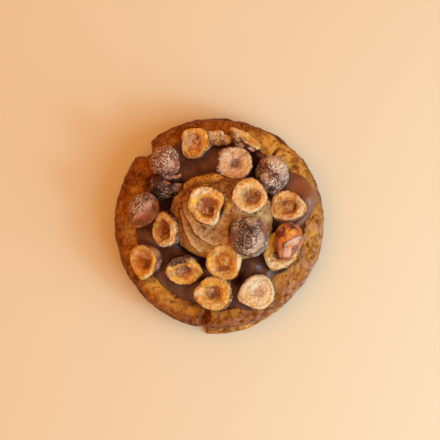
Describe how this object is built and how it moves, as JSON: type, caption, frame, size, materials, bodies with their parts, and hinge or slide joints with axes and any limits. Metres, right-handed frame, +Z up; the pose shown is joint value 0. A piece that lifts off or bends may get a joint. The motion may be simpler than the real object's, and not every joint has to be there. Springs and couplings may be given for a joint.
{
  "type": "hazelnut chocolate cookie",
  "caption": "Thick round baked cookie with a shallow well of poured chocolate, a folded scoop of praline and sugared roasted hazelnuts, whole and halved, on top.",
  "frame": {"origin": "centre of the underside, below the middle of the cookie's outline", "axes": "+Z up out of the topping, +Y towards the edge with the curved notch to its left, +X to the right seen from above"},
  "size_m": [0.09, 0.0932, 0.0436],
  "materials": {
    "baked_dough": "matte, mottled brown crust",
    "chocolate": "satin",
    "praline": "matte, speckled",
    "nut_flesh": "matte, cut face of a roasted nut",
    "nut_skin": "matte brown skin under sugar",
    "sugar": "coarse brown sugar grains"
  },
  "bodies": {
    "root": {"cookie_base": "baked_dough", "chocolate_pool": "chocolate", "praline_scoop": "praline", "hazelnut_half_back_left": "nut_flesh", "hazelnut_half_back": "nut_flesh", "hazelnut_half_back_sugared": "nut_flesh", "hazelnut_half_left": "nut_flesh", "hazelnut_half_front_left": "nut_flesh", "hazelnut_half_front_mid_left": "nut_flesh", "hazelnut_half_front_mid": "nut_flesh", "hazelnut_half_front": "nut_flesh", "hazelnut_half_front_pale": "nut_flesh", "hazelnut_half_right_lower": "nut_flesh", "hazelnut_half_right_upper": "nut_skin", "hazelnut_half_right": "nut_flesh", "hazelnut_half_praline_right": "nut_flesh", "hazelnut_half_praline_top": "nut_flesh", "hazelnut_whole_back_right": "nut_skin", "hazelnut_whole_back_left": "nut_skin", "hazelnut_whole_left_dark": "nut_skin", "hazelnut_whole_left": "nut_skin", "hazelnut_whole_praline_front": "nut_skin", "sugar_clump": "sugar"}
  },
  "joints": []
}
